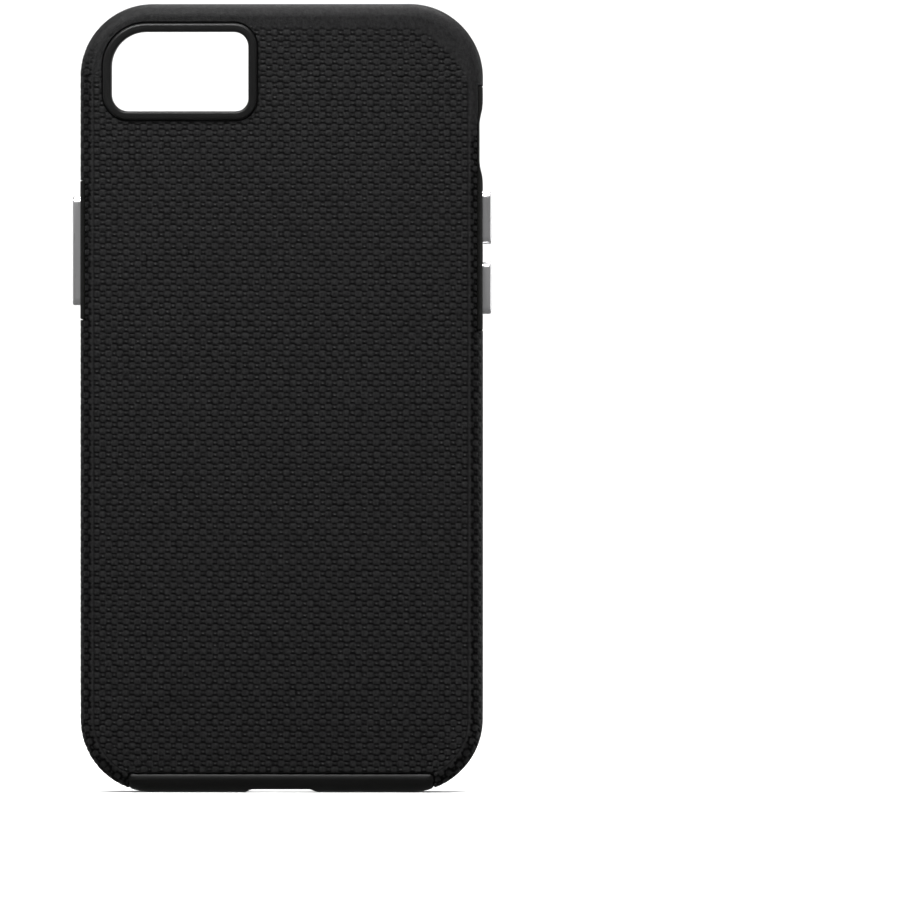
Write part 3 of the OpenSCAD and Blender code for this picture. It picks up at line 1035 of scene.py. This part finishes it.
# The chin: the same rubber in a colour darkened as painted shade, rougher and less glossy.
chin_shaded_skin = soft_material("liner_chin_shaded", CHIN_SHADED_DARK, CHIN_SHADED_LIGHT, 0.46, 0.52, 0.24)
ring_skin = soft_material("ring_satin", RING_DARK, RING_LIGHT, 0.32, 0.38, 0.22)
post_skin = soft_material("post_rubber", POST_DARK, POST_LIGHT, 0.50, 0.60, 0.2)
web_skin = soft_material("web_rubber", WEB_DARK, WEB_LIGHT, 0.50, 0.60, 0.2)
metal_skin = metal_material()

shell = build_shell(weave_skin, shell_plain)
store_rise(shell)
shade(shell, 40, keep_smooth=(0,))
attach(shell, "case")
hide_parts("outer_shell")

liner = shade(build_liner(liner_skin, liner_side_skin, chin_shaded_skin), 32)
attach(liner, "case")
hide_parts("inner_liner")

ring = shade(build_ring(ring_skin), 40)
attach(ring, "case")
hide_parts("camera_ring")

for node, side in BUTTONS.items():
    key = node.replace("_button", "")
    bar = shade(build_button(node, side, metal_skin), 40)
    post = shade(build_plunger(key + "_plunger", side, post_skin), 40)
    for piece, replaced, slot in ((bar, node, "button_metal"), (post, key + "_plunger", "plunger")):
        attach(piece, key + "_key")
        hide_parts(replaced)
    dish, anchor = build_web(key + "_web", key + "_plunger", side, web_skin)
    shade(dish, 40)
    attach(dish, "case")
    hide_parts(key + "_web")
    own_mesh(dish)

# ---- stage, light and camera -----------------------------------------------------------------

FLOOR_UP = -TOP * MM
STAGE_DARK, STAGE_LIGHT = (0.86, 0.86, 0.86), (0.88, 0.88, 0.88)
WORLD_LIGHT = 0.22
# Lights that shine on the case: place in metres, size in metres, watts
CASE_LIGHTS = {
    "back_above": ((0.08, 0.21, 0.34), (0.36, 0.12), 3.0),
    "front_above": ((-0.15, -0.2, 0.7), (0.7, 0.3), 7.0),
    "left": ((-0.80, -0.35, 0.15), (0.9, 0.9), 3.6),
    "right": ((0.80, -0.35, 0.15), (0.9, 0.9), 2.6),
}
# Lights that shine outward on the backdrop: the way they face in x and y, watts
WALL_LIGHTS = {
    "wall_front": (0, -1, 38),
    "wall_back": (0, 1, 15),
    "wall_left": (-1, 0, 14),
    "wall_right": (1, 0, 14),
}


def build_stage():
    """A pale floor that curves up into a backdrop all round. Glossy surfaces don't mirror it."""
    n = Nodes("stage_pale")
    n.link(n.blend(n.noise(3.0), STAGE_DARK, STAGE_LIGHT), n.shader.inputs["Base Color"])
    n.shader.inputs["Roughness"].default_value = 0.9
    n.shader.inputs["Specular IOR Level"].default_value = 0.1
    flat, bend, height, around = 2.0, 1.0, 2.8, 96
    profile = [(0.25, 0.0), (flat, 0.0)]
    profile += [(flat + bend * math.sin(a), bend * (1 - math.cos(a))) for a in quarter(16)[1:]]
    profile += [(flat + bend, height)]
    turn = np.linspace(0, 2 * math.pi, around, endpoint=False)
    points = [
        np.column_stack([r * np.cos(turn), r * np.sin(turn), np.full(around, FLOOR_UP + h)])
        for r, h in profile[::-1]
    ]
    faces = strip_faces(len(profile), around)
    faces.append(list(range((len(profile) - 1) * around, len(profile) * around)))
    floor = new_piece("stage_floor", np.concatenate(points), faces, (n.material,))
    floor.data.shade_smooth()
    floor.visible_glossy = False


def soft_light(name, position, target, size, power):
    """A rectangular area light that points at target."""
    data = bpy.data.lights.new(name, "AREA")
    data.shape = "RECTANGLE"
    data.size, data.size_y = size
    data.energy = power
    light = bpy.data.objects.new(name, data)
    light.location = position
    direction = Vector(target) - Vector(position)
    light.rotation_euler = direction.to_track_quat("-Z", "Y").to_euler()
    bpy.context.scene.collection.objects.link(light)


build_stage()
world = bpy.data.worlds.new("studio")
world.use_nodes = True
world.node_tree.nodes["Background"].inputs["Color"].default_value = (1, 1, 1, 1)
world.node_tree.nodes["Background"].inputs["Strength"].default_value = WORLD_LIGHT
bpy.context.scene.world = world
for name, (position, size, power) in CASE_LIGHTS.items():
    soft_light(name, position, (0, 0, 0), size, power)
for name, (x, y, power) in WALL_LIGHTS.items():
    soft_light(name, (1.2 * x, 1.2 * y, 1.9), (3.0 * x, 3.0 * y, 0.2), (1.6, 0.8), power)
bpy.context.scene.view_settings.view_transform = "Standard"

CAMERA_DISTANCE = 2.2
CAMERA_TURN = math.radians(2)
# Share of the frame that the case's height fills, and how far it sits off the frame's middle
FRAME_FILL = 0.8745
LEFT_OF_MIDDLE, ABOVE_MIDDLE = 0.1868, 0.0576
SENSOR = 36.0


def build_camera():
    """Behind the case, at its mid-height, turned a little towards the volume side."""
    seen = 2 * TOP * MM / FRAME_FILL
    middle = Vector((0, -(BACK + LIP_FRONT) / 2 * MM, 0))
    away = Vector((-math.sin(CAMERA_TURN), math.cos(CAMERA_TURN), 0))
    right = Vector((-away.y, away.x, 0))
    position = middle + away * CAMERA_DISTANCE
    aim = middle + right * (LEFT_OF_MIDDLE * seen) - Vector((0, 0, ABOVE_MIDDLE * seen))
    data = bpy.data.cameras.new("camera")
    data.sensor_width = SENSOR
    data.lens = SENSOR * CAMERA_DISTANCE / seen
    camera = bpy.data.objects.new("camera", data)
    camera.location = position
    camera.rotation_euler = (aim - position).to_track_quat("-Z", "Y").to_euler()
    bpy.context.scene.collection.objects.link(camera)
    bpy.context.scene.camera = camera


build_camera()
